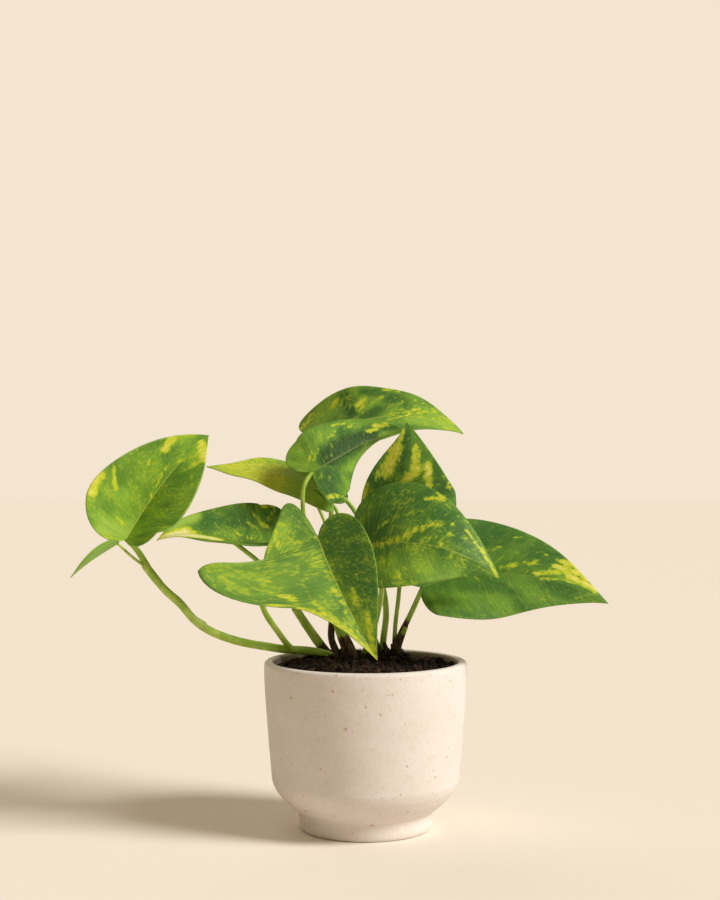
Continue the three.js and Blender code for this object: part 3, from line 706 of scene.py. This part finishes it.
def stoneware_material():
    """Matte cream stoneware: a soft cloudy glaze with brown iron specks and a faintly rough skin."""
    material, tree = new_material("speckled_stoneware")
    place = object_millimetres(tree)
    cloud = noise_of(tree, place, (28, 28, 18))
    colour = add(tree, "Mix", {0: cloud, 6: linear("dad0c6"), 7: linear("e9e1db")}, data_type="RGBA")[2]
    mottle = noise_of(tree, place, (2.2, 2.2, 2.2), detail=5, roughness=0.7)
    colour = tint(tree, colour, "c8b49c", mottle, 0.45, 0.75, 0.35)
    relief = noise_of(tree, place, (1.1, 1.1, 1.1), detail=4, roughness=0.65)

    # specks, whose places and outlines are made uneven by a small noise
    uneven = add(tree, "TexNoise", {"Vector": place, "Scale": 1.1, "Detail": 2})["Color"]
    uneven = add(tree, "VectorMath", [uneven, (0.5, 0.5, 0.5)], operation="SUBTRACT")[0]
    uneven = add(tree, "VectorMath", [uneven, (2, 2, 2), place], operation="MULTIPLY_ADD")[0]
    for spacing, chance, strength in SPECKS:
        cell = add(tree, "TexVoronoi", {"Vector": uneven, "Scale": 1 / spacing})
        drawn = add(tree, "SeparateColor", [cell["Color"]])
        chosen = [drawn[0], 1 - chance, 1.02 - chance]
        chosen = add(tree, "MapRange", chosen, interpolation_type="SMOOTHSTEP")[0]
        radius = add(tree, "Math", [drawn[1], 0.13, 0.06], operation="MULTIPLY_ADD")[0]
        off_speck = add(tree, "Math", [cell["Distance"], radius], operation="DIVIDE")[0]
        speck = add(tree, "MapRange", [off_speck, 1, 0.3, 0, chosen], interpolation_type="SMOOTHSTEP")[0]
        cover = add(tree, "Math", [speck, strength], operation="MULTIPLY")[0]
        colour = add(tree, "Mix", {0: cover, 6: colour, 7: linear("b0804e")}, data_type="RGBA")[2]
        relief = add(tree, "Math", [speck, -1.2, relief], operation="MULTIPLY_ADD")[0]

    # painted shade inside the pot: the inner wall turns darker brown from 60 mm up, fully above 80 mm, where
    # it shows above the soil
    parts = add(tree, "SeparateXYZ", [place])
    flat = add(tree, "CombineXYZ", [parts[0], parts[1]])[0]
    reach = add(tree, "VectorMath", [flat], operation="LENGTH")["Value"]
    inner_wall_shade = add(tree, "MapRange", [parts[2], 60, 80, 0, 0.8], interpolation_type="SMOOTHSTEP")[0]
    colour = tint(tree, colour, "80644a", reach, LIP_RADIUS + 1.5, LIP_RADIUS - 0.5, inner_wall_shade)

    bump = add(tree, "Bump", {"Height": relief, "Strength": 0.45, "Distance": 0.3 * MM})[0]
    clay = add(tree, "BsdfPrincipled", {
        "Base Color": colour, "Roughness": 0.72, "Specular IOR Level": 0.35, "Normal": bump,
    })[0]
    add(tree, "OutputMaterial", {"Surface": clay})
    return material


def soil_material(name, dark, light):
    """Moist peat potting soil: near-black brown crumbs with lighter bark fibres."""
    material, tree = new_material(name)
    place = object_millimetres(tree)
    clumps = noise_of(tree, place, (3, 3, 3), detail=5, roughness=0.65)
    bark = noise_of(tree, place, (0.5, 4, 1), roughness=0.6)
    colour = tint(tree, linear(dark), light, clumps, 0.35, 0.7)
    colour = tint(tree, colour, "6d5238", bark, 0.6, 0.7, 0.5)
    bump = add(tree, "Bump", {"Height": clumps, "Strength": 0.9, "Distance": 1.2 * MM})[0]
    earth = add(tree, "BsdfPrincipled", {
        "Base Color": colour, "Roughness": 0.95, "Specular IOR Level": 0.2, "Normal": bump,
    })[0]
    add(tree, "OutputMaterial", {"Surface": earth})
    return material


# Leaves

def margin_point(outline, share):
    """The place [across, along] on a half outline, at a share of the way from the joint to the tip."""
    start = 0
    for until, curve in outline:
        if share <= until + 1e-9:
            break
        start = until
    weights = cubic_weights((share - start) / (until - start))
    return [sum(w * point[axis] for w, point in zip(weights, curve)) for axis in (0, 1)]


def square_to(vector, ahead):
    return (vector - ahead * vector.dot(ahead)).normalized()


class Blade:
    """The middle surface of a blade, in millimetres."""

    def __init__(self, form):
        self.form = form
        base, tip = Vector(form["base"]), Vector(form["tip"])
        span = tip - base
        self.up = square_to(Vector(form["face"]), span.normalized())
        left = self.up.cross(span).normalized()
        offsets = [self.up * bow + left * sway for bow, sway in zip(form["bow"], form["sway"])]
        self.frame = [base, base + span / 3 + offsets[0], base + span * 2 / 3 + offsets[1], tip]
        steps = [self.midrib(k / MIDRIB_STEPS) for k in range(MIDRIB_STEPS + 1)]
        self.length = sum((b - a).length for a, b in zip(steps, steps[1:]))

    def midrib(self, t):
        return sum((p * w for p, w in zip(self.frame, cubic_weights(t))), Vector())

    def ahead(self, t):
        a, b, c, d = self.frame
        return ((b - a) * (1 - t) ** 2 + (c - b) * 2 * t * (1 - t) + (d - c) * t * t).normalized()

    def point(self, out, share):
        """A place with its measures across and along, for out from -1, the right margin, to 1, the left."""
        form, side, span = self.form, int(out < 0), abs(out)
        edge_across, edge_along = margin_point(form.get("outline", (HEART, HEART))[side], share)
        root = max(0, (share - LOBE_SHARE) / (1 - LOBE_SHARE)) ** VEIN_LAG
        across = edge_across * form["width"][side] * span * (2 * (1 - span) * VEIN_SPREAD + span)
        reach = edge_along * form["lobe"][side] if edge_along < 0 else edge_along
        along = root + (reach - root) * span * (2 * (1 - span) * VEIN_SWEEP + span)
        place = min(max(along, 0), 1)
        ahead = self.ahead(place)
        up = square_to(self.up, ahead)

        # half a cross-section is an arc that leaves the midrib at the rise
        rise = form["rise"][0][side] * (1 - place) + form["rise"][1][side] * place
        half_curl = math.radians(form["curl"][side] * across / HALF_WIDTH / 2)
        slope = math.radians(rise) + half_curl
        breadth = across * self.length
        distance = breadth * (math.sin(half_curl) / half_curl if abs(half_curl) > 1e-6 else 1)

        # a waved margin, and a blade that swells between the side veins
        height, count, phase = form["wave"]
        turns = count * share + phase
        wave = height * span ** 2 * math.sin(2 * math.pi * turns) * math.sin(math.pi * share)
        off_vein = 2 * abs((VEINS * share) % 1 - 0.5)
        pillow = QUILTING * off_vein * 4 * span * (1 - span) * breadth / QUILTED_BREADTH
        if side:
            wave -= form.get("tuck", 0) * (1 - smooth(0.3, 0.5, share)) * min(4 * span, 1)

        sign = -1 if side else 1
        point = self.midrib(place) + ahead * (along - place) * self.length
        point += up.cross(ahead) * distance * math.cos(slope) * sign
        point += up * (distance * math.sin(slope) + wave - pillow)
        return point, sign * breadth, along * self.length


def painted(marks, across, along):
    """How strongly the soft marks cover a place on the blade."""
    cover = 0
    for x, y, x_end, y_end, radius, strength in marks:
        dx, dy = x_end - x, y_end - y
        share = ((across - x) * dx + (along - y) * dy) / max(dx * dx + dy * dy, 1e-6)
        share = min(max(share, 0), 1)
        far = math.hypot(across - x - share * dx, along - y - share * dy) / radius
        cover = max(cover, strength * (1 - smooth(MARK_HEART, MARK_EDGE, far)))
    return cover


def leaf(node, form, seed, upper, lower):
    """A blade as a grid: columns run from the right margin to the left, rows from the joint to the tip."""
    blade = Blade(form)
    marks = MARKS.get(node, {})
    sheet = bmesh.new()
    bmesh.ops.create_grid(sheet, x_segments=2 * LEAF_COLUMNS, y_segments=LEAF_ROWS, size=1)
    blade_values = sheet.verts.layers.float_vector.new("blade")
    paint_values = sheet.verts.layers.float_vector.new("paint")
    kind_values = sheet.verts.layers.float_vector.new("kind")
    seed_values = sheet.verts.layers.float.new("seed")
    for vertex in sheet.verts:
        out, share = vertex.co.x, min(max((vertex.co.y + 1) / 2, 0), 1)
        point, across, along = blade.point(out, share)
        vertex.co = at(*point)
        vertex[blade_values] = (across, out, share)
        vertex[paint_values] = [painted(marks.get(k, ()), across, along) for k in ("cream", "dark", "pale")]
        vertex[kind_values] = (form["tone"], form["flecks"], form["rib"])
        vertex[seed_values] = seed
    bmesh.ops.remove_doubles(sheet, verts=sheet.verts, dist=MERGE)
    bmesh.ops.recalc_face_normals(sheet, faces=sheet.faces)
    facing = sum((face.normal * face.calc_area() for face in sheet.faces), Vector())
    if facing.dot(blade.up) < 0:
        bmesh.ops.reverse_faces(sheet, faces=sheet.faces)
    piece = finish_piece(sheet, "fine_" + node, upper, node)
    piece.data.materials.append(lower)
    thickness = piece.modifiers.new("thickness", "SOLIDIFY")
    thickness.thickness = BLADE_THICKNESS * MM
    thickness.offset = 0
    thickness.material_offset = 1


# Stalks

def shoot_path(points):
    """A centripetal curve through the points, as places at even steps."""
    ends = [points[0] * 2 - points[1], *points, points[-1] * 2 - points[-2]]
    places = []
    for a, b, c, d in zip(ends, ends[1:], ends[2:], ends[3:]):
        first, middle, last = (max((q - p).length ** 0.5, 1e-6) for p, q in ((a, b), (b, c), (c, d)))
        start = ((b - a) / first - (c - a) / (first + middle) + (c - b) / middle) * middle
        end = ((c - b) / middle - (d - b) / (middle + last) + (d - c) / last) * middle
        for t in (k / CURVE_STEPS for k in range(CURVE_STEPS)):
            places.append(b * (2 * t ** 3 - 3 * t * t + 1) + start * (t ** 3 - 2 * t * t + t)
                          + c * (3 * t * t - 2 * t ** 3) + end * (t ** 3 - t * t))
    places.append(points[-1])
    lengths = [0]
    for p, q in zip(places, places[1:]):
        lengths.append(lengths[-1] + (q - p).length)
    steps = max(4, round(lengths[-1] / TUBE_STEP))
    even = []
    k = 0
    for number in range(steps + 1):
        wanted = lengths[-1] * number / steps
        while k < len(lengths) - 2 and lengths[k + 1] < wanted:
            k += 1
        share = (wanted - lengths[k]) / (lengths[k + 1] - lengths[k])
        even.append(places[k].lerp(places[k + 1], min(share, 1)))
    return even


def shoot(tube, radii, points, brown, stem):
    """One round shoot: a flat grid rolled up along its path and closed at both ends."""
    path = shoot_path([Vector(p) for p in points])
    steps = len(path) - 1
    normal = square_to(Vector((0.3, -1, 0.2)), (path[1] - path[0]).normalized())
    frames = []
    for k in range(steps + 1):
        ahead = (path[min(k + 1, steps)] - path[max(k - 1, 0)]).normalized()
        normal = square_to(normal, ahead)
        frames.append((normal, ahead.cross(normal)))
    rolled = bmesh.ops.create_grid(tube, x_segments=TUBE_SIDES, y_segments=steps, size=1)["verts"]
    for vertex in rolled:
        turn, share = math.pi * (vertex.co.x + 1), (vertex.co.y + 1) / 2
        k = round(share * steps)
        lump = 1 + STALK_LUMPS * noise.noise(path[k] / LUMP_LENGTH)
        swell = 1 + FOOT_SWELL * (1 - smooth(0, FOOT_REACH, (path[k] - path[0]).length / radii[0]))
        radius = (radii[0] + (radii[1] - radii[0]) * share) * lump * swell
        round_place = frames[k][0] * math.cos(turn) + frames[k][1] * math.sin(turn)
        vertex.co = (path[k] + round_place * radius) * MM
        vertex[stem] = (1 - smooth(brown - BROWN_EDGE, brown + BROWN_EDGE, share), turn, 0)
    ends = {edge for vertex in rolled for edge in vertex.link_edges}
    bmesh.ops.remove_doubles(tube, verts=rolled, dist=MERGE)
    open_edges = [edge for edge in ends if edge.is_valid and edge.is_boundary]
    bmesh.ops.holes_fill(tube, edges=open_edges, sides=0)


def stalk(node, shoots, material):
    tube = bmesh.new()
    stem = tube.verts.layers.float_vector.new("stem")
    for radii, brown, points in shoots:
        shoot(tube, radii, points, brown, stem)
    bmesh.ops.recalc_face_normals(tube, faces=tube.faces)
    finish_piece(tube, "fine_" + node, material, node)


# Pot and soil

def spun(profile):
    """A closed profile of (radius, height) turned about the pot's axis."""
    turned = bmesh.new()
    line = [turned.verts.new(at(r, 0, z)) for r, z in profile]
    edges = [turned.edges.new(pair) for pair in zip(line, line[1:])]
    bmesh.ops.spin(turned, geom=line + edges, cent=(0, 0, 0), axis=(0, 0, 1), angle=2 * math.pi,
                   steps=POT_SEGMENTS, use_merge=True)
    bmesh.ops.remove_doubles(turned, verts=turned.verts, dist=MERGE)
    bmesh.ops.recalc_face_normals(turned, faces=turned.faces)
    return turned


def rounded(profile, rounds=2):
    """A profile with its corners cut by up to CORNER and its ends kept."""
    for _ in range(rounds):
        cut = [profile[0]]
        for (r0, z0), (r1, z1) in zip(profile, profile[1:]):
            share = min(0.25, CORNER / math.hypot(r1 - r0, z1 - z0))
            cut += [(r0 + (r1 - r0) * t, z0 + (z1 - z0) * t) for t in (share, 1 - share)]
        profile = [*cut, profile[-1]]
    return profile


def pot(material):
    foot = FOOT_RADIUS
    lip = LIP_RADIUS
    outside = [
        (0, 0), (foot - 1.6, 0), (foot - 0.3, 0.8), (foot + 0.4, 3), (foot + 0.6, 8), (foot + 1.4, 10.8),
        (foot + 4.6, 13.2), (foot + 10.6, 19), (foot + 14.4, 24), (foot + 16.3, 28.5), (foot + 18.2, 50),
        (RIM_RADIUS - 0.6, 78), (RIM_RADIUS, 90),
    ]
    rim = [
        (RIM_RADIUS, POT_HEIGHT - 1.8), (RIM_RADIUS - 0.7, POT_HEIGHT - 0.5), (RIM_RADIUS - 2, POT_HEIGHT),
        (lip + 1.6, POT_HEIGHT), (lip + 0.5, POT_HEIGHT - 0.5), (lip, POT_HEIGHT - 1.8),
    ]
    inside = [
        (lip - 0.8, 80), (lip - 3.5, 34), (lip - 9, 20), (lip - 20, FLOOR_HEIGHT + 1.5),
        (lip - 26, FLOOR_HEIGHT), (0, FLOOR_HEIGHT),
    ]
    finish_piece(spun(rounded(outside + rim + inside)), "fine_pot", material, "pot")


def soil_height(x, y):
    """The soil's low mound with its broad lumps, before its crumbs."""
    share = min(1, math.hypot(x, y) / LIP_RADIUS)
    lumps = math.sin(0.31 * x + 0.9) * math.cos(0.27 * y - 0.4) + 0.6 * math.sin(0.53 * y - 0.38 * x + 2)
    return SOIL_EDGE_HEIGHT + SOIL_MOUND * (1 - share ** 2) + SOIL_RELIEF * lumps * (1 - 0.6 * share ** 4)


def soil(material):
    wall = LIP_RADIUS - CLEARANCE
    bottom = FLOOR_HEIGHT + CLEARANCE
    profile = [
        (0, bottom), (wall - 26, bottom), (wall - 20, bottom + 1.5), (wall - 9, 20.2), (wall - 3.5, 34),
        (wall - 0.9, 80), (wall - 0.4, SOIL_EDGE_HEIGHT - 2),
    ]
    profile += [((wall - 1) * (1 - k / SOIL_RINGS), SOIL_EDGE_HEIGHT) for k in range(SOIL_RINGS + 1)]
    turned = spun(profile)
    for vertex in turned.verts:
        x, y, z = vertex.co / MM
        if z > SOIL_EDGE_HEIGHT - 1:
            place = Vector((x, y, 0))
            rough = sum(height * noise.noise(place * scale) for height, scale in SOIL_ROUGHNESS)
            vertex.co.z = (soil_height(x, y) + rough) * MM
    finish_piece(turned, "fine_soil", material, "soil")


def round_the_pot(drawn, radius):
    """A random place on the soil, even over the area."""
    reach, turn = radius * math.sqrt(drawn.random()), drawn.uniform(0, 2 * math.pi)
    return reach * math.cos(turn), reach * math.sin(turn)


def crumbs(material):
    """Loose crumbs of peat over the soil, thickest round the stalks' feet."""
    drawn = random.Random(5)
    heap = bmesh.new()
    for number in range(CRUMBS):
        if number % 2:
            centre = drawn.choice(STALK_FEET)
            x, y = centre[0] + drawn.gauss(0, CRUMB_SCATTER), centre[1] + drawn.gauss(0, CRUMB_SCATTER)
        else:
            x, y = round_the_pot(drawn, CRUMB_REACH)
        if math.hypot(x, y) > CRUMB_REACH:
            continue
        size = drawn.uniform(0.5, 1.9) if number % LARGE_CRUMB_EVERY else drawn.uniform(1.8, 3)
        near = min(math.hypot(x - foot_x, y - foot_y) for foot_x, foot_y in STALK_FEET)
        lift = drawn.uniform(0, HEAP_HEIGHT) * (1 - smooth(2, 8, near))
        stretch = [size * drawn.uniform(0.6, 1.5) for _ in range(3)]
        shift = Vector([drawn.uniform(0, 50) for _ in range(3)])
        grown = bmesh.ops.create_icosphere(heap, subdivisions=2, radius=1)["verts"]
        for vertex in grown:
            knob = 1 + 0.45 * noise.noise(vertex.co * 1.6 + shift)
            dx, dy, dz = (c * s * knob for c, s in zip(vertex.co, stretch))
            vertex.co = at(x + dx, y + dy, soil_height(x, y) + lift + 0.25 * size + dz)
    finish_piece(heap, "soil_crumbs", material)


def fibres(material):
    """Thin dry peat fibres that curl over the soil."""
    drawn = random.Random(11)
    threads = bmesh.new()
    stem = threads.verts.layers.float_vector.new("stem")
    for _ in range(FIBRES):
        x, y = round_the_pot(drawn, FIBRE_REACH)
        heading = drawn.uniform(0, 2 * math.pi)
        points = []
        for arch in FIBRE_ARCH:
            if math.hypot(x, y) < FIBRE_LIMIT:
                points.append((x, y, soil_height(x, y) + arch * drawn.uniform(0.5, 1.3)))
            heading += drawn.uniform(-0.9, 0.9)
            pace = drawn.uniform(1.2, 3.4)
            x, y = x + pace * math.cos(heading), y + pace * math.sin(heading)
        if len(points) > 2:
            width = drawn.uniform(0.12, 0.28)
            shoot(threads, (width, width * 0.6), points, 2, stem)
    bmesh.ops.recalc_face_normals(threads, faces=threads.faces)
    finish_piece(threads, "soil_fibres", material)


upper = leaf_material("pothos_leaf_upper", False)
lower = leaf_material("pothos_leaf_underside", True)
for seed, (node, form) in enumerate(BLADES.items()):
    leaf(node, form, seed, upper, lower)
green_stalk = stalk_material()
for node, shoots in STALKS.items():
    stalk(node, shoots, green_stalk)
pot(stoneware_material())
soil(soil_material("peat_soil", "0f0a07", "2f2118"))
crumbs(soil_material("peat_crumbs", "140d08", "3d2b1d"))
fibres(soil_material("peat_fibres", "4a3524", "8a6a48"))


# Stage: a plain pale floor, soft studio light from the upper right, and the camera at the photo's angle

def board_material(name, colour):
    """Painted board: plain, pale and matte."""
    material, tree = new_material(name)
    board = add(tree, "BsdfPrincipled", {"Base Color": linear(colour), "Roughness": 0.9})[0]
    add(tree, "OutputMaterial", {"Surface": board})
    return material


def studio_light(name, power, width, colour, tilt, turn):
    """A soft far light: tilted from straight down, then turned from the front to the right, in degrees."""
    light = bpy.data.lights.new(name, "SUN")
    light.energy = power
    light.angle = math.radians(width)
    light.color = linear(colour)[:3]
    lamp = bpy.data.objects.new(name, light)
    lamp.rotation_euler = (math.radians(tilt), 0, math.radians(turn))
    bpy.context.scene.collection.objects.link(lamp)


ground = bmesh.new()
bmesh.ops.create_grid(ground, x_segments=1, y_segments=1, size=FLOOR_REACH * MM)
floor = new_object(ground, "floor", board_material("pale_floor", "ece3d6"))

studio_light("key", power=3.4, width=22, colour="fffdfa", tilt=52, turn=68)
studio_light("rim", power=0.6, width=50, colour="fff3dc", tilt=50, turn=-150)

# the world gives a soft warm light, and the camera sees it as a pale backdrop
world = bpy.data.worlds.new("studio")
world.use_nodes = True
sky = world.node_tree
sky.nodes.clear()
soft = add(sky, "Background", {"Color": linear("f6e1c6"), "Strength": 0.33})[0]
backdrop = add(sky, "Background", {"Color": linear("f4e5d0"), "Strength": 1})[0]
seen = add(sky, "LightPath")["Is Camera Ray"]
add(sky, "OutputWorld", {"Surface": add(sky, "MixShader", [seen, soft, backdrop])[0]})
bpy.context.scene.world = world

lens = bpy.data.cameras.new("camera")
lens.sensor_fit = "VERTICAL"
lens.sensor_height = SENSOR_HEIGHT
lens.lens = FOCAL_LENGTH
camera = bpy.data.objects.new("camera", lens)
camera.location = at(*CAMERA_PLACE)
camera.rotation_euler = (math.pi / 2, 0, 0)
bpy.context.scene.collection.objects.link(camera)
bpy.context.scene.camera = camera
bpy.context.scene.view_settings.view_transform = "Standard"
